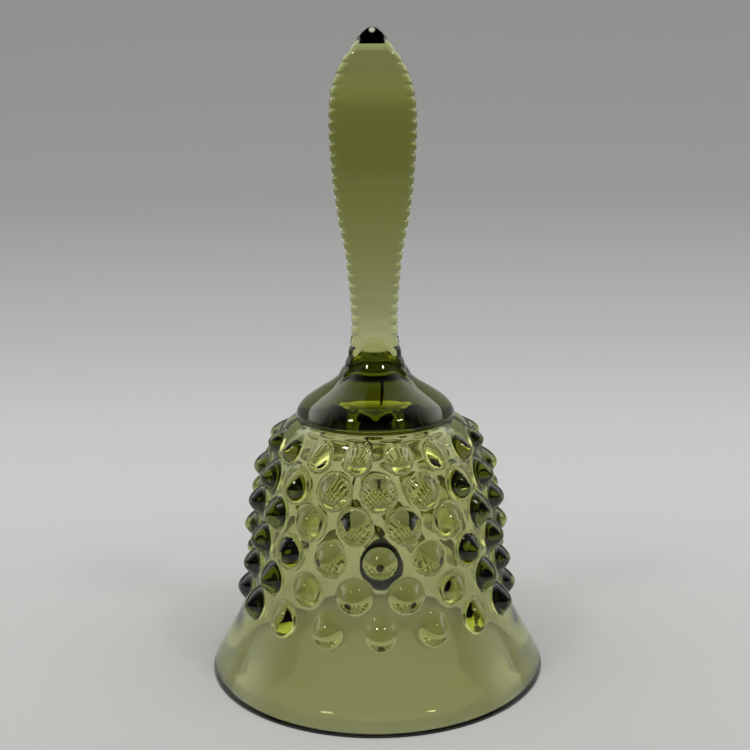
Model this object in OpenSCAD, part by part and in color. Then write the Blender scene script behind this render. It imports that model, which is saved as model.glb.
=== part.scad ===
// Hand bell in pressed glass: a paddle handle with beaded edges, a cushion crown, a bowl with
// staggered rows of pointed hobnails, a flared skirt, and a metal clapper hung on a bent wire.
// The origin is at the centre of the rim's resting face, with +Z up the bell's axis. The handle's
// broad faces look along -Y and +Y.

/* [Bell] */
// Height from the rim to the tip of the handle
total_h = 150; // [140:1:156]
// Radius of the rim at its widest
rim_r = 40.2; // [39:0.1:41.5]
// Thickness of the glass wall
wall = 3.2; // [2.6:0.1:3.6]
// Width of the flat that the rim rests on
rest_w = 1.2; // [0.8:0.1:1.6]

/* [Hobnails] */
// Hobnails in each row
hob_count = 16; // [14:1:16]
// How far a hobnail stands out of the wall
hob_out = 3.1; // [2:0.1:3.5]
// Radius of a hobnail's foot in the lower rows
hob_foot_r = 3.75; // [3:0.05:4.1]
// Radius of a hobnail's foot in the top row
hob_top_foot_r = 2.9; // [2.5:0.05:3.2]
// Radius of a hobnail's blunt point
hob_tip_r = 1.2; // [0.6:0.1:1.6]
// Turn of the hobnail pattern from the front
hob_turn = 1.5; // [0:0.5:11]

/* [Handle] */
// Thickness of the paddle where it swells most
handle_t = 12; // [10:0.5:13]
// How far the beaded margins lie below the faces
edge_drop = 0.7; // [0.3:0.1:1.2]
// Half width of the paddle at its widest
handle_half_w = 9.8; // [8.5:0.1:11]
// Height of one bead of the edge
bead_pitch = 2.45; // [2:0.05:3.2]
// Depth of the notch between two beads
bead_depth = 0.5; // [0.2:0.05:0.7]
// Width of the lower edge round the paddle's flat faces
face_inset = 1.6; // [1:0.1:2.2]

/* [Clapper] */
// Offset of the hand-set anchor from the bell's axis
hang_x = 1.2; // [-1.5:0.1:1.5]
// Height of the pin line on which the wire hangs
hang_z = 61.4; // [61:0.1:61.5]
// Height of the pin line on which the clapper hangs
hook_z = 31.6; // [31:0.1:32]
// Radius of the clapper's ball
ball_r = 5.3; // [4.5:0.1:5.5]
// Height of the ball's centre above the resting face
ball_z = 23.4; // [23:0.1:23.8]
// Radius of the hanging wire
wire_r = 0.25; // [0.2:0.05:0.3]
// Radius of the anchor's wire
anchor_wire_r = 0.25; // [0.2:0.05:0.3]
// Radius of the clapper eye's wire
eye_wire_r = 0.35; // [0.3:0.05:0.4]

/* [Hidden] */

// Cuts between the zones of the one glass pressing
skirt_top = 14;
bowl_top = 56;
crown_top = 76;

// Clear gap between two linked wires
link_gap = 0.1;
// A bend in the wire is a ball a little over the wire's own radius
knuckle_r = wire_r + 0.02;
anchor_r = 1.1;
anchor_top = 68;
wire_eye_r = 0.8;
hook_r = 1.2;
clapper_eye_r = 0.95;
eye_deep = 2.6;

// Catmull-Rom curve through the points p, with n steps a span. The first and last only steer.
function bend(a, b, c, d, t) =
    0.5 * (2 * b + (c - a) * t + (2 * a - 5 * b + 4 * c - d) * t * t + (3 * b - 3 * c + d - a) * t * t * t);
function curve(p, n) = concat(
    [for (i = [1:len(p) - 3], k = [0:n - 1]) bend(p[i - 1], p[i], p[i + 1], p[i + 2], k / n)],
    [p[len(p) - 2]]);

// Outer face of the glass, from the rim up to the underside of the crown cushion
rest_r = rim_r - 0.7;
outer_rail = [[rest_r - 1, 0], [rest_r, 0], [rim_r, 0.9], [rim_r - 3.4, 6.4], [rim_r - 6.7, 12.8],
              [30.6, 19.8], [29.2, 27.6], [28.5, 35.4], [27.5, 43.1], [25.8, 50.3], [23.3, 56.6],
              [20.9, 60.1], [18.2, 61.5], [16, 61.6]];
outer_wall = [for (p = curve(outer_rail, 3)) [min(p[0], rim_r), p[1]]];

// Inner face, a wall's thickness inside the outer one, closed by a dome under the crown
inner_rail = [[rest_r - rest_w + 1, 0], [rest_r - rest_w, 0], [rim_r - wall - 0.7, 2],
              [rim_r - wall - 3.9, 6.6], [rim_r - wall - 6.9, 12.8], [30.4 - wall, 19.8],
              [29.1 - wall, 27.6], [28.4 - wall, 35.4], [27.4 - wall, 43.1], [25.6 - wall, 50.3],
              [20.6, 55.2], [17.8, 58.2], [14.2, 60.6], [10, 62], [5.5, 62.8], [0, 63], [-5.5, 62.8]];
inner_wall = curve(inner_rail, 3);

// Cushion and the waist that flares up into the handle
flare_rail = [[16, 60], [18.2, 61.5], [18.7, 62.3], [18.1, 63.9], [16.6, 65.6], [13.4, 67.8],
              [10.3, 69.7], [7.6, 71.8], [5.4, 74.4], [4.5, crown_top], [4.3, 78]];
flare = curve(flare_rail, 3);

// Half width of the paddle at the height z, through the beads' crests
paddle_rail = [[10.5, 64], [9.4, 66.4], [7.4, 72.4], [6.5, 75.4], [5.6, 79], [5.4, 84], [5.8, 92],
               [6.6, 100.4], [8.2, 109], [9.2, 118], [handle_half_w, 126], [handle_half_w, 133],
               [8.8, 138.2], [6.9, 142.6], [4.2, 146.2], [0, total_h], [-4.2, 146.2]];
paddle_half = [for (p = curve(paddle_rail, 3)) [p[1], p[0]]];

// Each bead is a notch and two corners of its crest, from the waist to the tip
bead_points = concat(
    [for (z = [66:bead_pitch:total_h - 4], part = [[0, bead_depth], [0.3, 0], [0.7, 0]])
        [z + part[0] * bead_pitch, part[1]]],
    [[total_h - 3, 0], [total_h - 1.6, 0], [total_h - 0.5, 0], [total_h, 0]]);

// The flat foot sinks into the round wall until its edge meets the wall's face
hob_sink = 0.28;

// Height, wall radius, foot radius and half-step stagger of each row, from the top down
hob_rows = [[57.1, 23, hob_top_foot_r, 0.5], [50.2, 25.8, hob_foot_r, 0],
            [43, 27.5, hob_foot_r, 0.5], [35.3, 28.5, hob_foot_r, 0],
            [27.6, 29.2, hob_foot_r, 0.5], [19.8, 30.6, hob_foot_r, 0]];

// The wire's bowed shank between its eye and its hook, offsets along X from the hanging line
shank = [[-0.57, hang_z - 0.77], [-1.3, 57.6], [-2.4, 54], [-3.6, 50.6], [-5.1, 47.6], [-6.4, 44.9],
         [-7.2, 41.2], [-6.3, 38], [-4.2, 35.2], [-hook_r, hook_z + hook_r]];
tail = [[hook_r, hook_z + hook_r], [2, 34.4]];

module glass() color([0.42, 0.45, 0.2, 0.5]) children();
module dark_wire() color([0.16, 0.15, 0.13]) children();

module glass_solid() {
    rotate_extrude($fn = 96) polygon(concat([[0, 0]], outer_wall, [[0, 61.5]]));
}

module glass_hollow() {
    rotate_extrude($fn = 96)
        polygon(concat([[0, -1], [inner_wall[0][0], -1]], inner_wall));
}

// Slice of the glass between two heights
module slice(low, high) {
    translate([0, 0, low]) cylinder(r = 60, h = high - low, $fn = 48);
}

module skirt() glass() difference() {
    intersection() {
        glass_solid();
        slice(0, skirt_top);
    }
    glass_hollow();
}

module bowl() glass() difference() {
    intersection() {
        glass_solid();
        slice(skirt_top, bowl_top);
    }
    glass_hollow();
}

// Half thickness of the paddle at the height z: a waist, a swell, and a tip like a roof's ridge
swell = handle_t / 2;
side_rail = [[swell, 62], [swell * 0.9, 66], [swell * 0.6, crown_top], [swell * 0.5, 83],
             [swell * 0.66, 96], [swell * 0.82, 106], [swell * 0.96, 116], [swell, 125],
             [swell * 0.95, 133], [swell * 0.78, 140], [swell * 0.65, 146.2],
             [swell * 0.05, total_h + 0.01], [-swell, total_h + 6]];

// Closed outline from the right-hand edge's points [half width, height], mirrored to the left
module mirrored(edge) {
    polygon(concat(edge, [for (i = [len(edge) - 1:-1:0]) if (edge[i][0] > 0) [-edge[i][0], edge[i][1]]]));
}

// Slab between the paddle's two swelling faces, each face moved in by drop
module between_faces(drop) {
    side = [for (p = curve(side_rail, 2)) [max(p[0] - drop, 0.2), p[1]]];
    rotate([90, 0, 90]) linear_extrude(height = 30, center = true) mirrored(side);
}

// Slab with the paddle's front outline
module cut_out(edge) {
    rotate([90, 0, 0]) linear_extrude(height = 2 * handle_t, center = true) mirrored(edge);
}

module paddle() {
    beaded = [for (p = bead_points) [lookup(p[0], paddle_half) - p[1], p[0]]];
    flat = [for (p = paddle_half) if (p[0] > 64 && p[0] < total_h - face_inset) [p[1] - face_inset, p[0]]];
    intersection() {
        cut_out(beaded);
        between_faces(edge_drop);
    }
    intersection() {
        cut_out(flat);
        between_faces(0);
    }
}

module handle() glass() intersection() {
    paddle();
    slice(crown_top, total_h + 1);
}

module anchor_shape() {
    translate([hang_x, 0, hang_z + anchor_r]) rotate([90, 0, 90]) rotate([0, 0, 180])
        rotate_extrude(angle = 180, $fn = 48) translate([anchor_r, 0]) circle(r = anchor_wire_r, $fn = 24);
    for (side = [-1, 1])
        translate([hang_x, side * anchor_r, hang_z + anchor_r])
            cylinder(r = anchor_wire_r, h = anchor_top - hang_z - anchor_r, $fn = 24);
}

module crown() glass() difference() {
    union() {
        intersection() {
            glass_solid();
            slice(bowl_top, 61.5);
        }
        rotate_extrude($fn = 96) polygon(concat([[0, 61.5]], flare, [[0, crown_top]]));
        intersection() {
            paddle();
            slice(65, crown_top);
        }
    }
    glass_hollow();
    anchor_shape();
}

// One hobnail: a blunt cone that stands out along X, for a foot radius r
module hob(r) {
    rotate([0, 90, 0]) translate([0, 0, -hob_sink])
        cylinder(r1 = r, r2 = hob_tip_r, h = hob_out + hob_sink, $fn = 32);
}

module hobnails() glass() {
    for (row = hob_rows, k = [0:hob_count - 1])
        rotate([0, 0, (k + row[3]) * 360 / hob_count - 90 + hob_turn])
            translate([row[1], 0, row[0]]) hob(row[2]);
}

module anchor_staple() dark_wire() anchor_shape();

// Round wire along a path in the XZ plane, measured from the hanging line
module wire_run(path) {
    translate([path[0][0], 0, path[0][1]]) sphere(r = knuckle_r, $fn = 24);
    for (i = [0:len(path) - 2]) {
        step = path[i + 1] - path[i];
        translate([path[i][0], 0, path[i][1]]) rotate([0, atan2(step[0], step[1]), 0])
            cylinder(r = wire_r, h = norm(step), $fn = 24);
        translate([path[i + 1][0], 0, path[i + 1][1]]) sphere(r = knuckle_r, $fn = 24);
    }
}

module hanging_wire() dark_wire() translate([hang_x, 0, 0]) {
    translate([0, 0, hang_z + anchor_wire_r + wire_r + link_gap - wire_eye_r]) rotate([90, 0, 0])
        rotate_extrude($fn = 48) translate([wire_eye_r, 0]) circle(r = wire_r, $fn = 24);
    wire_run(shank);
    translate([0, 0, hook_z + hook_r]) rotate([90, 0, 0]) rotate([0, 0, 180])
        rotate_extrude(angle = 180, $fn = 48) translate([hook_r, 0]) circle(r = wire_r, $fn = 24);
    wire_run(tail);
}

clapper_top = hook_z + eye_wire_r + wire_r + link_gap - 2 * clapper_eye_r - eye_wire_r + 0.2;

module eye_shape() {
    translate([hang_x, 0, clapper_top + clapper_eye_r + eye_wire_r - 0.2]) rotate([0, 90, 0])
        rotate_extrude($fn = 48) translate([clapper_eye_r, 0]) circle(r = eye_wire_r, $fn = 24);
    translate([hang_x, 0, clapper_top - eye_deep]) cylinder(r = eye_wire_r, h = eye_deep, $fn = 24);
}

module clapper_eye() dark_wire() eye_shape();

// Teardrop: a ball that draws in to a small flat top round the eye
module clapper() color([0.1, 0.1, 0.1]) difference() {
    translate([hang_x, 0, 0]) rotate_extrude($fn = 64) polygon(concat(
        [for (a = [-90:10:40]) [ball_r * cos(a), ball_z + ball_r * sin(a)]],
        [[3.7, 27.7], [3, 28.9], [2.2, 29.8], [1.5, clapper_top], [0, clapper_top]]));
    eye_shape();
}

handle();
crown();
bowl();
skirt();
hobnails();
anchor_staple();
hanging_wire();
clapper_eye();
clapper();
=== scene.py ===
import math
import bpy
from mathutils import Matrix, Vector


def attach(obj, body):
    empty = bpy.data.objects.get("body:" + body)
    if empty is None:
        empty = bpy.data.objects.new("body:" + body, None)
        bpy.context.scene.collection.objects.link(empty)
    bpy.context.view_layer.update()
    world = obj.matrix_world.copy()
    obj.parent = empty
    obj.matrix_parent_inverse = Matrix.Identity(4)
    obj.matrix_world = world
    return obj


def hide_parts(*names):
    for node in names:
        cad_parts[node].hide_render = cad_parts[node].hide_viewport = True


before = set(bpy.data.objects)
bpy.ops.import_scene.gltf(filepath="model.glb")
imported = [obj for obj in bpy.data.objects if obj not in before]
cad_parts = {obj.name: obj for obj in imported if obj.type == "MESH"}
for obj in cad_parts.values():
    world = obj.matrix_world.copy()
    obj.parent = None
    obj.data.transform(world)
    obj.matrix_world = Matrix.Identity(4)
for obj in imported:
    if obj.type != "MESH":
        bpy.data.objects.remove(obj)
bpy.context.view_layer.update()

mm = 0.001


# shared helpers

def toLinear(code):
    parts = [int(code[i:i + 2], 16) / 255 for i in (1, 3, 5)]
    return [c / 12.92 if c <= 0.04045 else ((c + 0.055) / 1.055) ** 2.4 for c in parts] + [1.0]


def addNode(tree, kind, settings=None, links=None):
    # settings go to properties or to sockets, links are {socket: (node, output)}
    node = tree.nodes.new(kind)
    for key, value in (settings or {}).items():
        if isinstance(key, str) and hasattr(node, key):
            setattr(node, key, value)
        else:
            node.inputs[key].default_value = value
    for key, (source, output) in (links or {}).items():
        tree.links.new(source.outputs[output], node.inputs[key])
    return node


def newMaterial(name):
    material = bpy.data.materials.new(name)
    material.use_nodes = True
    material.node_tree.nodes.clear()
    return material, material.node_tree


def bend(a, b, c, d, t):
    # Catmull-Rom between b and c
    return [0.5 * (2 * q + (r - p) * t + (2 * p - 5 * q + 4 * r - s) * t * t
                   + (3 * q - 3 * r + s - p) * t ** 3) for p, q, r, s in zip(a, b, c, d)]


def smoothRail(points, steps):
    # a smooth rail through the points, with this many steps between two
    before = [2 * p - q for p, q in zip(points[0], points[1])]
    after = [2 * p - q for p, q in zip(points[-1], points[-2])]
    full = [before] + [list(p) for p in points] + [after]
    rail = []
    for i in range(1, len(full) - 2):
        rail += [bend(*full[i - 1:i + 3], k / steps) for k in range(steps)]
    return rail + [list(points[-1])]


def evenly(rail, step):
    # the same rail with points about one step apart
    lengths = [0.0]
    for a, b in zip(rail, rail[1:]):
        lengths.append(lengths[-1] + math.dist(a, b))
    count = max(1, round(lengths[-1] / step))
    out, j = [], 0
    for i in range(count + 1):
        want = lengths[-1] * i / count
        while j < len(lengths) - 2 and lengths[j + 1] < want:
            j += 1
        t = (want - lengths[j]) / max(lengths[j + 1] - lengths[j], 1e-9)
        out.append([p + (q - p) * t for p, q in zip(rail[j], rail[j + 1])])
    return out


def readTable(table, x):
    # straight between the points of a table of [x, value]
    if x <= table[0][0]:
        return table[0][1]
    for a, b in zip(table, table[1:]):
        if x <= b[0]:
            return a[1] + (b[1] - a[1]) * (x - a[0]) / max(b[0] - a[0], 1e-9)
    return table[-1][1]


def ramp(low, high, x):
    t = min(1.0, max(0.0, (x - low) / (high - low)))
    return t * t * (3 - 2 * t)


def softMin(a, b, k):
    # the lesser of the two, rounded over where they are closer than k
    h = max(k - abs(a - b), 0) / k
    return min(a, b) - h * h * k / 4


def softMax(a, b, k):
    return -softMin(-a, -b, k)


def newMesh(name, points, faces, material):
    mesh = bpy.data.meshes.new(name)
    mesh.from_pydata([(x * mm, y * mm, z * mm) for x, y, z in points], [], faces)
    mesh.validate()
    mesh.update()
    piece = bpy.data.objects.new(name, mesh)
    bpy.context.scene.collection.objects.link(piece)
    piece.data.materials.append(material)
    for face in mesh.polygons:
        face.use_smooth = True
    return piece


# glass: one pressing, from the rim up over hobnails and crown to the handle, and back down inside

bell = {
    "rimRadius": 40.2,
    "rimEdge": (0.25, 0.3),  # bevel between the resting face and the rim, in and up
    "restWidth": 0.5,
    "wall": 3.2,
    "skirt": [(3.2, 6.2), (6.7, 12.8)],                # in from the rim, height
    "bowl": [                                          # radius, height
        (30.6, 19.8), (29.2, 27.6), (28.5, 35.4), (27.5, 43.1), (25.8, 50.3), (23.3, 56.6),
        (20.9, 60.1), (18.2, 61.5),
    ],
    "skirtInside": [(0.7, 2.0), (3.9, 6.6), (6.9, 12.8)],
    "bowlInside": [(30.4, 19.8), (29.1, 27.6), (28.4, 35.4), (27.4, 43.1), (25.6, 50.3)],
    "dome": [(20.6, 55.2), (17.8, 58.2), (14.2, 60.6), (10.0, 62.0), (5.5, 62.8), (0.6, 63.0)],
    "bowlStart": 14,         # height where the finer rings begin
    "hobsEnd": 61.3,         # no hobnail reaches above this height
    "around": 384,           # points round the bowl
    "aroundHandle": 128,
    "aroundInside": 96,
    "bowlStep": 0.5,         # mm between rings where the hobnails are
    "skirtStep": 0.7,
    "handleStep": 0.26,
    "insideStep": 1.1,
}

hobs = {
    "count": 16,
    "turn": 1.5,             # degrees
    "out": 3.1,
    "rows": [                # height, foot radius, stagger
        (57.1, 2.9, 0.5), (50.2, 3.75, 0.0), (43.0, 3.8, 0.5),
        (35.3, 3.8, 0.0), (27.6, 3.8, 0.5), (19.8, 3.8, 0.0),
    ],
    "point": 0.4,            # rounding of the tip, share of the foot radius
    "dome": 0.7,             # share of a plain dome in the shape, the rest is a cone
    "fillet": 0.07,          # softness where the foot meets the wall
}

handle = {
    "pitch": 2.45,           # mm from bead to bead
    "beadDepth": 0.36,
    "chamfer": 1.2,          # width of the slanted, beaded margin
    "marginEdge": 0.5,       # roundings, mm
    "faceEdge": 0.35,
    "rootFillet": 1.6,       # where the paddle grows out of the round waist
    "beadsFrom": (68, 72),   # heights where the beads fade in, and out
    "beadsTo": (148.6, 149.6),
    "flareEnd": (78, 84),    # heights where the round waist runs out inside the paddle
    "edgesFrom": (64, 78),   # heights where the points crowd to the long edges, and spread again
    "edgesTo": (146, 149),
    "tipRings": [149.3, 149.55, 149.7],
    "top": 150.0,
    "flare": [               # height, radius of the round cushion and waist
        (61.5, 18.2), (62.3, 18.7), (63.9, 18.1), (65.6, 16.6), (67.8, 13.4), (69.7, 10.3),
        (71.8, 7.6), (74.4, 5.4), (76.0, 4.5), (79.0, 3.6), (84.0, 2.5),
    ],
    "halfWidth": [           # height, half width across the front
        (61.5, 10.5), (66.4, 9.5), (69.7, 8.8), (71.8, 8.1),
        (73.0, 7.5), (74.6, 6.8), (76.5, 6.25), (80.0, 5.6), (85.0, 5.4), (92.0, 5.8),
        (100.4, 6.65), (109.0, 8.25), (118.0, 9.3), (126.0, 9.8), (131.5, 9.8), (136.0, 9.4),
        (138.2, 8.8), (140.4, 7.95), (142.6, 6.85), (144.8, 5.3), (146.3, 4.15), (148.2, 2.9),
        (149.3, 1.7), (149.8, 0.8),
    ],
    "halfDepth": [           # height, half thickness between the flat faces
        (61.5, 6.0), (66.0, 5.4), (70.0, 4.6), (73.0, 3.8), (76.0, 3.2), (80.0, 2.9), (85.0, 2.9),
        (90.0, 3.25), (96.0, 3.85), (106.0, 4.8), (116.0, 5.8), (124.0, 6.0), (132.0, 5.7),
        (139.0, 4.5), (142.6, 3.95), (144.5, 3.75), (144.9, 3.6), (149.0, 0.85), (149.8, 0.3),
    ],
}


def hobHeight(distance):
    # height of a hobnail at a distance from its axis, in foot radii
    a = hobs["point"]
    cone = 1 - (math.hypot(distance, a) - a) / (math.hypot(1, a) - a)
    dome = 1 - distance ** 2
    x = (1 - hobs["dome"]) * cone + hobs["dome"] * dome
    k = hobs["fillet"]
    if x > k:
        return x
    return (x + k) ** 2 / (4 * k) if x > -k else 0.0


def hobLift(angle, height, radius):
    pitch = 2 * math.pi / hobs["count"]
    best = 0.0
    for rowHeight, foot, stagger in hobs["rows"]:
        up = (height - rowHeight) / foot
        if abs(up) > 1.3:
            continue
        start = math.radians(hobs["turn"]) - math.pi / 2 + stagger * pitch
        off = (angle - start + pitch / 2) % pitch - pitch / 2
        rise = hobs["out"] * min(1.0, foot / 3.7)
        best = max(best, rise * hobHeight(math.hypot(up, off * radius / foot)))
    return best


def sectionRadius(angle, height, halfWidth, halfDepth, flare):
    # distance from the axis to the surface, for the handle and the round waist it grows from
    c, s = abs(math.cos(angle)), abs(math.sin(angle))
    side = halfWidth / max(c, 1e-3)
    face = halfDepth / max(s, 1e-3)
    chamfer = handle["chamfer"] * min(1.0, halfWidth / 5, halfDepth / 3)
    margin = softMin(side, (halfWidth + halfDepth - chamfer) / (c + s), handle["marginEdge"])
    beads = ramp(*handle["beadsFrom"], height) * (1 - ramp(*handle["beadsTo"], height))
    if beads > 0:
        notch = (0.5 + 0.5 * math.cos(2 * math.pi * height / handle["pitch"])) ** 4
        margin -= handle["beadDepth"] * notch * beads
    return softMax(softMin(margin, face, handle["faceEdge"]), flare, handle["rootFillet"])


def crowdAngle(even, corner, lean):
    # turns an even angle towards the paddle's long edges, which are the corner angle from X
    quarter, part = divmod(even, math.pi / 2)
    share = part / (math.pi / 2)
    share = share if quarter % 2 == 0 else 1 - share
    bent = readTable([(0, 0), (0.34, corner * 0.72), (0.72, corner * 1.9), (1, math.pi / 2)], share)
    bent = bent if quarter % 2 == 0 else math.pi / 2 - bent
    return even + (quarter * math.pi / 2 + bent - even) * lean


def stitch(faces, lower, upper):
    # quads between two rings of the same length
    count = len(lower)
    for i in range(count):
        j = (i + 1) % count
        faces.append((lower[i], lower[j], upper[j], upper[i]))


def thin(faces, many, few):
    # joins a fine ring below to a coarse one above
    ratio = len(many) // len(few)
    for i in range(len(few)):
        edge = [many[(i * ratio + k) % len(many)] for k in range(ratio + 1)]
        faces.append(tuple(edge + [few[(i + 1) % len(few)], few[i]]))


def buildGlass(material):
    points, faces = [], []

    def addRing(ring):
        first = len(points)
        points.extend(ring)
        return list(range(first, first + len(ring)))

    rim, wall, split = bell["rimRadius"], bell["wall"], bell["bowlStart"]
    rest = rim - bell["rimEdge"][0]
    skirt = [(rim - inward, height) for inward, height in bell["skirt"]]
    outline = smoothRail([(rest, 0), (rim, bell["rimEdge"][1])] + skirt + bell["bowl"], 24)
    outer = evenly([p for p in outline if p[1] <= split], bell["skirtStep"])
    outer += evenly([p for p in outline if p[1] > split], bell["bowlStep"])
    outer = [(min(radius, rim), max(height, 0)) for radius, height in outer]
    rings = []
    for radius, height in outer:
        ring = []
        for i in range(bell["around"]):
            angle = 2 * math.pi * i / bell["around"]
            r = radius + (hobLift(angle, height, radius) if split < height < bell["hobsEnd"] else 0)
            ring.append((r * math.cos(angle), r * math.sin(angle), height))
        rings.append(addRing(ring))
    for a, b in zip(rings, rings[1:]):
        stitch(faces, a, b)
    top = rings[-1]

    # waist and handle
    widthRail = smoothRail(handle["halfWidth"], 12)
    depthRail = smoothRail(handle["halfDepth"], 12)
    flareRail = smoothRail(handle["flare"], 12)
    count = bell["aroundHandle"]
    waist = [p for p in evenly(flareRail, 0.5) if 61.6 < p[0] < 77]
    heights = [p[0] for p in waist]
    while heights[-1] < 148.9:
        heights.append(heights[-1] + bell["handleStep"])
    heights += handle["tipRings"]
    last = None
    for height in heights:
        halfWidth, halfDepth = readTable(widthRail, height), readTable(depthRail, height)
        flare = readTable(flareRail, height) * (1 - ramp(*handle["flareEnd"], height))
        lean = ramp(*handle["edgesFrom"], height) * (1 - ramp(*handle["edgesTo"], height))
        ring = []
        for i in range(count):
            angle = crowdAngle(2 * math.pi * i / count, math.atan2(halfDepth, halfWidth), lean)
            r = sectionRadius(angle, height, halfWidth, halfDepth, flare)
            ring.append((r * math.cos(angle), r * math.sin(angle), height))
        ring = addRing(ring)
        if last is None:
            thin(faces, top, ring)
        else:
            stitch(faces, last, ring)
        last = ring
    points.append((0, 0, handle["top"]))
    tip = len(points) - 1
    for i in range(count):
        faces.append((last[i], last[(i + 1) % count], tip))

    # resting face and hollow
    inside = [(rest - bell["restWidth"], 0)]
    inside += [(rim - wall - inward, height) for inward, height in bell["skirtInside"]]
    inside += [(radius - wall, height) for radius, height in bell["bowlInside"]]
    inside = smoothRail(inside + bell["dome"], 16)
    n = bell["aroundInside"]
    turns = [2 * math.pi * i / n for i in range(n)]
    last = None
    for radius, height in evenly(inside, bell["insideStep"]):
        ring = addRing([(radius * math.cos(a), radius * math.sin(a), max(height, 0)) for a in turns])
        if last is None:
            thin(faces, rings[0], ring)
            faces[-n:] = [tuple(reversed(f)) for f in faces[-n:]]
        else:
            stitch(faces, ring, last)
        last = ring
    points.append((0, 0, bell["dome"][-1][1]))
    ceiling = len(points) - 1
    for i in range(n):
        faces.append((last[(i + 1) % n], last[i], ceiling))
    return newMesh("bell_glass", points, faces, material)


def makeGlassMaterial():
    # pressed soda-lime glass in olive green, fire polished: clear, with a soft ripple left by the mould
    material, tree = newMaterial("olive pressed glass")
    where = addNode(tree, "ShaderNodeTexCoord")
    ripple = addNode(tree, "ShaderNodeTexNoise", {"Scale": 1 / (9 * mm), "Detail": 1.0, "Roughness": 0.4},
                     {"Vector": (where, "Object")})
    bump = addNode(tree, "ShaderNodeBump", {"Strength": 0.12, "Distance": 0.25 * mm},
                   {"Height": (ripple, "Fac")})
    surface = addNode(tree, "ShaderNodeBsdfPrincipled",
                      {"Base Color": toLinear("#ffffff"), "Transmission Weight": 1.0, "IOR": 1.52,
                       "Roughness": 0.0}, {"Normal": (bump, "Normal")})
    body = addNode(tree, "ShaderNodeVolumeAbsorption", {"Color": toLinear("#ced330"), "Density": 210.0})
    out = addNode(tree, "ShaderNodeOutputMaterial")
    tree.links.new(surface.outputs["BSDF"], out.inputs["Surface"])
    tree.links.new(body.outputs["Volume"], out.inputs["Volume"])
    return material


print("glass")
glass = buildGlass(makeGlassMaterial())
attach(glass, "bell")
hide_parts("handle", "crown", "bowl", "skirt", "hobnails")


# clapper, its eye, the hanging wire and the staple

metal = {
    "hangX": 1.2,
    "hangZ": 61.4,
    "hookZ": 31.6,
    "hookRadius": 1.2,
    "gap": 0.1,
    "wireRadius": 0.25,
    "stapleWire": 0.25,
    "eyeWire": 0.35,
    "staple": 1.1,
    "stapleTop": 67.6,
    "wireEye": 0.8,
    "clapperEye": 0.95,
    "ball": 5.3,
    "ballZ": 23.4,
    "neck": [(3.7, 27.7), (3.0, 28.9), (2.2, 29.75), (1.3, 30.2), (0.4, 30.25)],     # radius, height
    "seam": 0.07,            # height and width of the mould's parting line
    "seamWidth": 0.3,
    "shank": [               # the wire's bow, measured from the hanging line
        (-1.3, 57.6), (-2.4, 54.0), (-3.6, 50.6), (-5.1, 47.6), (-6.4, 44.9), (-7.2, 41.2), (-6.3, 38.0),
        (-4.2, 35.2),
    ],
}


def sweep(name, path, radius, material, sides=20, closed=False):
    # round wire along a path in mm, with domed ends
    path = [Vector(p) for p in path]
    count = len(path)
    points, faces, rings = [], [], []
    normal = None
    for i, here in enumerate(path):
        ahead = path[(i + 1) % count] if closed or i < count - 1 else here
        behind = path[i - 1] if closed or i > 0 else here
        along = (ahead - behind).normalized()
        if normal is None:
            normal = along.orthogonal().normalized()
        normal = (normal - along * normal.dot(along)).normalized()
        other = along.cross(normal)
        rings.append(len(points))
        for k in range(sides):
            a = 2 * math.pi * k / sides
            points.append(tuple(here + (normal * math.cos(a) + other * math.sin(a)) * radius))
    for i in range(count if closed else count - 1):
        a, b = rings[i], rings[(i + 1) % count]
        for k in range(sides):
            j = (k + 1) % sides
            faces.append((a + k, a + j, b + j, b + k))
    if not closed:
        for i, sign in ((0, -1), (count - 1, 1)):
            along = (path[min(i + 1, count - 1)] - path[max(i - 1, 0)]).normalized() * sign
            start = rings[i]
            base = [Vector(points[start + k]) for k in range(sides)]
            for tilt in (30, 60):
                first = len(points)
                c, s = math.cos(math.radians(tilt)), math.sin(math.radians(tilt))
                for v in base:
                    points.append(tuple(path[i] + (v - path[i]) * c + along * radius * s))
                for k in range(sides):
                    j = (k + 1) % sides
                    quad = (start + k, start + j, first + j, first + k)
                    faces.append(quad if sign > 0 else tuple(reversed(quad)))
                start = first
            points.append(tuple(path[i] + along * radius))
            for k in range(sides):
                tri = (start + k, start + (k + 1) % sides, len(points) - 1)
                faces.append(tri if sign > 0 else tuple(reversed(tri)))
    return newMesh(name, points, faces, material)


def around(radius, angles):
    # points on a circle, from angles in degrees
    return [(radius * math.cos(math.radians(a)), radius * math.sin(math.radians(a))) for a in angles]


def arcXZ(x, z, radius, start, end, count):
    angles = [start + (end - start) * k / count for k in range(count + 1)]
    return [(x + c, 0, z + s) for c, s in around(radius, angles)]


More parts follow.
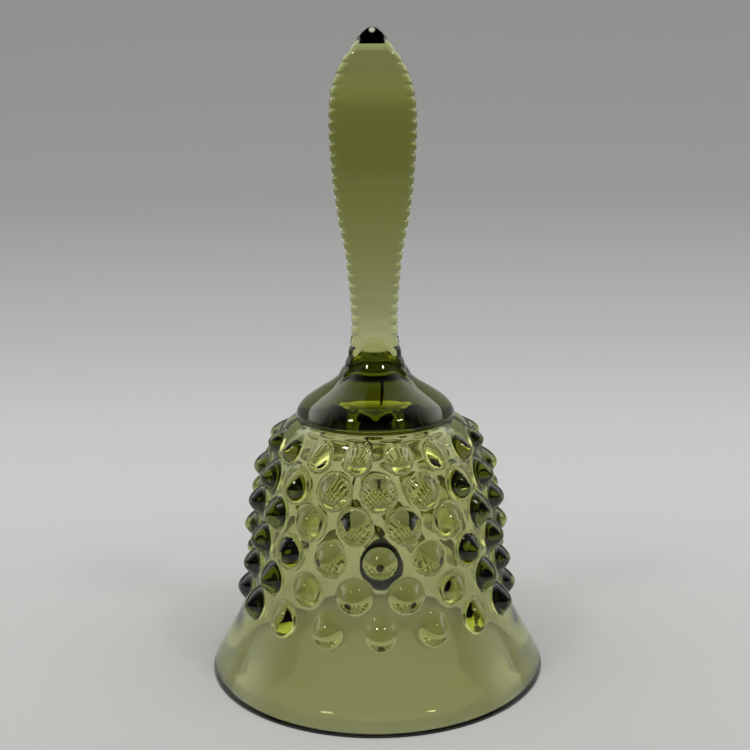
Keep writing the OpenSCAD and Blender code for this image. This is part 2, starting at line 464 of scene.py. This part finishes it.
def makeWireMaterial():
    # soft iron wire, drawn and then darkened by the hot glass: dull, brown-black, a little rust
    material, tree = newMaterial("annealed iron wire")
    where = addNode(tree, "ShaderNodeTexCoord")
    scale = addNode(tree, "ShaderNodeTexNoise", {"Scale": 1 / (1.4 * mm), "Detail": 5.0, "Roughness": 0.6},
                    {"Vector": (where, "Object")})
    tone = addNode(tree, "ShaderNodeValToRGB", links={"Fac": (scale, "Fac")})
    tone.color_ramp.elements[0].position = 0.38
    tone.color_ramp.elements[0].color = toLinear("#2b2622")
    tone.color_ramp.elements[1].position = 0.68
    tone.color_ramp.elements[1].color = toLinear("#4a3a2c")
    shine = addNode(tree, "ShaderNodeMapRange",
                    {"From Min": 0.3, "From Max": 0.7, "To Min": 0.34, "To Max": 0.6},
                    {"Value": (scale, "Fac")})
    bump = addNode(tree, "ShaderNodeBump", {"Strength": 0.25, "Distance": 0.03 * mm},
                   {"Height": (scale, "Fac")})
    surface = addNode(tree, "ShaderNodeBsdfPrincipled", {"Metallic": 1.0},
                      {"Base Color": (tone, "Color"), "Roughness": (shine, "Result"),
                       "Normal": (bump, "Normal")})
    addNode(tree, "ShaderNodeOutputMaterial", links={"Surface": (surface, "BSDF")})
    return material


def makeClapperMaterial():
    # cast lead alloy gone dark in air: near black, a waxy shine, fine pits from the mould
    material, tree = newMaterial("tarnished cast lead")
    where = addNode(tree, "ShaderNodeTexCoord")
    cloud = addNode(tree, "ShaderNodeTexNoise", {"Scale": 1 / (3.5 * mm), "Detail": 4.0, "Roughness": 0.55},
                    {"Vector": (where, "Object")})
    pits = addNode(tree, "ShaderNodeTexNoise", {"Scale": 1 / (0.6 * mm), "Detail": 3.0, "Roughness": 0.7},
                   {"Vector": (where, "Object")})
    tone = addNode(tree, "ShaderNodeValToRGB", links={"Fac": (cloud, "Fac")})
    tone.color_ramp.elements[0].position = 0.35
    tone.color_ramp.elements[0].color = toLinear("#101011")
    tone.color_ramp.elements[1].position = 0.72
    tone.color_ramp.elements[1].color = toLinear("#232223")
    shine = addNode(tree, "ShaderNodeMapRange",
                    {"From Min": 0.3, "From Max": 0.7, "To Min": 0.28, "To Max": 0.48},
                    {"Value": (cloud, "Fac")})
    bump = addNode(tree, "ShaderNodeBump", {"Strength": 0.35, "Distance": 0.08 * mm},
                   {"Height": (pits, "Fac")})
    surface = addNode(tree, "ShaderNodeBsdfPrincipled", {"Metallic": 1.0},
                      {"Base Color": (tone, "Color"), "Roughness": (shine, "Result"),
                       "Normal": (bump, "Normal")})
    addNode(tree, "ShaderNodeOutputMaterial", links={"Surface": (surface, "BSDF")})
    return material


def buildStaple(material):
    x, z, r = metal["hangX"], metal["hangZ"] + metal["staple"], metal["staple"]
    loop = [(x, c, z + s) for c, s in around(r, range(-180, 1, 9))]
    top = metal["stapleTop"]
    leg = [(x, -r, top - (top - z) * k / 6) for k in range(6)]
    other = [(x, r, z + (top - z) * k / 6) for k in range(1, 7)]
    return sweep("anchor_staple_wire", leg + loop + other, metal["stapleWire"], material)


def buildWire(material):
    x, eye, hook = metal["hangX"], metal["wireEye"], metal["hookRadius"]
    eyeZ = metal["hangZ"] + metal["stapleWire"] + metal["wireRadius"] + metal["gap"] - eye
    winding = arcXZ(x, eyeZ, eye, -118, 225, 44)                # the eye, wound nearly shut
    bow = [(x + off, 0, z) for off, z in metal["shank"]]
    shank = smoothRail([(x - 0.57, 0, eyeZ - 0.57)] + bow + [(x - hook, 0, metal["hookZ"] + hook)], 8)
    bottom = arcXZ(x, metal["hookZ"] + hook, hook, 180, 360, 20)
    tail = [(x + hook + 0.35, 0, metal["hookZ"] + hook + 0.7), (x + 2.0, 0, 34.4)]
    path = winding + shank[1:] + bottom[1:] + tail
    return sweep("hanging_wire_bent", path, metal["wireRadius"], material, 16)


def buildEye(material):
    x = metal["hangX"]
    z = metal["hookZ"] + metal["eyeWire"] + metal["wireRadius"] + metal["gap"] - metal["clapperEye"]
    r = metal["clapperEye"]
    loop = [(x, c, z + s) for c, s in around(r, range(-78, 259, 8))]
    shank = [(x, 0.12, z - r - 0.9), (x, 0.14, z - r - 0.3)]
    other = [(x, -0.14, z - r - 0.3), (x, -0.12, z - r - 0.9)]
    return sweep("clapper_eye_ring", shank + loop + other, metal["eyeWire"], material)


def buildClapper(material):
    x, ball, centre = metal["hangX"], metal["ball"], metal["ballZ"]
    arc = [(c, centre + s) for c, s in around(ball, range(-84, 37, 6))]
    profile = evenly(smoothRail(arc + metal["neck"], 6), 0.35)
    sides = 72
    points, faces = [(x, 0, centre - ball)], []
    last = None
    for r, z in profile:
        first = len(points)
        for k in range(sides):
            a = 2 * math.pi * k / sides
            # parting line of the mould
            seam = metal["seam"] * math.exp(-(math.sin(a) * r / metal["seamWidth"]) ** 2)
            seam *= 1 if abs(math.cos(a)) > 0.5 else 0
            points.append((x + (r + seam) * math.cos(a), (r + seam) * math.sin(a), z))
        for k in range(sides):
            j = (k + 1) % sides
            if last is None:
                faces.append((0, first + j, first + k))
            else:
                faces.append((last + k, last + j, first + j, first + k))
        last = first
    points.append((x, 0, profile[-1][1] + 0.01))
    for k in range(sides):
        faces.append((last + k, last + (k + 1) % sides, len(points) - 1))
    return newMesh("clapper_teardrop", points, faces, material)


print("metal")
wireMaterial, clapperMaterial = makeWireMaterial(), makeClapperMaterial()
for build, body, node, slot, material in (
        (buildStaple, "bell", "anchor_staple", "dark_wire", wireMaterial),
        (buildWire, "wire", "hanging_wire", "dark_wire", wireMaterial),
        (buildEye, "clapper", "clapper_eye", "dark_wire", wireMaterial),
        (buildClapper, "clapper", "clapper", "clapper_metal", clapperMaterial)):
    piece = build(material)
    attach(piece, body)
    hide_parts(node)


# paper sweep, light and camera

studio = {
    "toneAndPaintedShade": [                # distance along the sweep, paper tone with painted shade: darker towards the front and up the backdrop
        (-1400, "#1c1c1c"), (-750, "#7a7a78"), (-320, "#7e7e7c"), (-90, "#b4b4b2"),
        (34, "#bebebc"), (122, "#c7c8c7"), (215, "#cacbca"), (300, "#c9caca"), (419, "#c8c9c9"),
        (560, "#b2b3b2"), (665, "#a0a09f"), (789, "#9b9c9a"), (900, "#9a9b99"),
    ],
    "floor": -0.05,
    "sweepFront": -1600,
    "sweepBack": 420,
    "sweepRadius": 260,
    "sweepTop": 520,
    "halfWidth": 1500,
    # light of the room, brightest low down behind the bell, dimmer overhead, dark in front:
    # axis of the direction, start and end of the fade along it, strengths there, multiplied together
    "room": [("Z", 0.3, 0.95, 3.1, 0.48), ("Z", 0.0, 0.3, 0.25, 1.0), ("Y", -0.3, 0.6, 0.03, 1.0)],
    "lamps": [                # name, place, target, size, watts, seen in mirror reflections
        ("ceiling_lamp_left", (-640, -500, 1250), (0, 0, 60), (150, 100), 1.6, True),
        ("ceiling_lamp_right", (660, -500, 1250), (0, 0, 60), (150, 100), 1.8, True),
        ("front_fill", (0, -700, 1150), (0, 250, 0), (6000, 2300), 55, False),
    ],
}


def buildSweep():
    floor = studio["floor"]
    profile = [(studio["sweepFront"], floor), (studio["sweepBack"], floor)]
    for k in range(1, 25):
        a = math.pi / 2 * k / 24
        profile.append((studio["sweepBack"] + studio["sweepRadius"] * math.sin(a),
                        floor + studio["sweepRadius"] * (1 - math.cos(a))))
    profile.append((profile[-1][0], studio["sweepTop"]))
    w = studio["halfWidth"]
    points, faces = [], []
    for y, z in profile:
        points += [(-w, y, z), (w, y, z)]
    for i in range(len(profile) - 1):
        faces.append((2 * i, 2 * i + 1, 2 * i + 3, 2 * i + 2))
    material, tree = newMaterial("matt paper sweep")
    where = addNode(tree, "ShaderNodeTexCoord")
    parts = addNode(tree, "ShaderNodeSeparateXYZ", links={"Vector": (where, "Object")})
    along = addNode(tree, "ShaderNodeMath", {"operation": "ADD"}, {0: (parts, "Y"), 1: (parts, "Z")})
    # paper tone along the sweep, with painted shade that darkens it towards the front and up the backdrop
    start, end = studio["toneAndPaintedShade"][0][0], studio["toneAndPaintedShade"][-1][0]
    share = addNode(tree, "ShaderNodeMapRange", {"From Min": start * mm, "From Max": end * mm},
                    {"Value": (along, "Value")})
    tone = addNode(tree, "ShaderNodeValToRGB", links={"Fac": (share, "Result")})
    stops = tone.color_ramp.elements
    for place, code in studio["toneAndPaintedShade"][1:-1]:
        stops.new((place - start) / (end - start)).color = toLinear(code)
    stops[0].color = toLinear(studio["toneAndPaintedShade"][0][1])
    stops[-1].color = toLinear(studio["toneAndPaintedShade"][-1][1])
    # a little lighter under the bell, where the glass gathers light
    flat = addNode(tree, "ShaderNodeCombineXYZ", links={"X": (parts, "X"), "Y": (parts, "Y")})
    away = addNode(tree, "ShaderNodeVectorMath", {"operation": "LENGTH"}, {0: (flat, "Vector")})
    under = addNode(tree, "ShaderNodeMapRange", {"From Min": 34 * mm, "From Max": 39.5 * mm, "To Min": 1.3,
                                                 "To Max": 1.0}, {"Value": (away, "Value")})
    lit = addNode(tree, "ShaderNodeVectorMath", {"operation": "SCALE"},
                  {0: (tone, "Color"), "Scale": (under, "Result")})
    surface = addNode(tree, "ShaderNodeBsdfPrincipled", {"Roughness": 0.9, "Specular IOR Level": 0.1},
                      {"Base Color": (lit, "Vector")})
    addNode(tree, "ShaderNodeOutputMaterial", links={"Surface": (surface, "BSDF")})
    sweepPiece = newMesh("paper_sweep", points, faces, material)


def buildWorld():
    world = bpy.data.worlds.new("soft room")
    bpy.context.scene.world = world
    world.use_nodes = True
    tree = world.node_tree
    tree.nodes.clear()
    where = addNode(tree, "ShaderNodeTexCoord")
    parts = addNode(tree, "ShaderNodeSeparateXYZ", links={"Vector": (where, "Generated")})
    strength = None
    for axis, start, end, low, high in studio["room"]:
        fade = addNode(tree, "ShaderNodeMapRange",
                       {"From Min": start, "From Max": end, "To Min": low, "To Max": high,
                        "interpolation_type": "SMOOTHSTEP"}, {"Value": (parts, axis)})
        if strength is None:
            strength = (fade, "Result")
        else:
            product = addNode(tree, "ShaderNodeMath", {"operation": "MULTIPLY"},
                              {0: strength, 1: (fade, "Result")})
            strength = (product, "Value")
    light = addNode(tree, "ShaderNodeBackground", links={"Strength": strength})
    addNode(tree, "ShaderNodeOutputWorld", links={"Surface": (light, "Background")})


def addArea(name, place, target, size, power, mirrored):
    lamp = bpy.data.lights.new(name, "AREA")
    lamp.shape = "RECTANGLE"
    lamp.size, lamp.size_y = size[0] * mm, size[1] * mm
    lamp.energy = power
    light = bpy.data.objects.new(name, lamp)
    bpy.context.scene.collection.objects.link(light)
    here, there = Vector(place) * mm, Vector(target) * mm
    light.visible_glossy = mirrored
    turn = (there - here).to_track_quat("-Z", "Y").to_matrix().to_4x4()
    light.matrix_world = Matrix.Translation(here) @ turn


view = {
    "distance": 275.3,
    "height": 131.7,
    "down": 12.41,           # degrees
    "roll": -0.52,
    "lens": 57.6,
}


def buildCamera():
    camera = bpy.data.objects.new("camera", bpy.data.cameras.new("camera"))
    bpy.context.scene.collection.objects.link(camera)
    camera.data.lens = view["lens"]
    camera.data.sensor_width = 36
    camera.data.clip_start = 0.01
    place = Matrix.Translation((0, -view["distance"] * mm, view["height"] * mm))
    tilt = Matrix.Rotation(math.radians(90 - view["down"]), 4, "X")
    camera.matrix_world = place @ tilt @ Matrix.Rotation(math.radians(view["roll"]), 4, "Z")
    bpy.context.scene.camera = camera


print("stage")
buildSweep()
buildWorld()
for lamp in studio["lamps"]:
    addArea(*lamp)
buildCamera()
scene = bpy.context.scene
scene.view_settings.view_transform = "Standard"
scene.cycles.max_bounces = 24
scene.cycles.transmission_bounces = 24
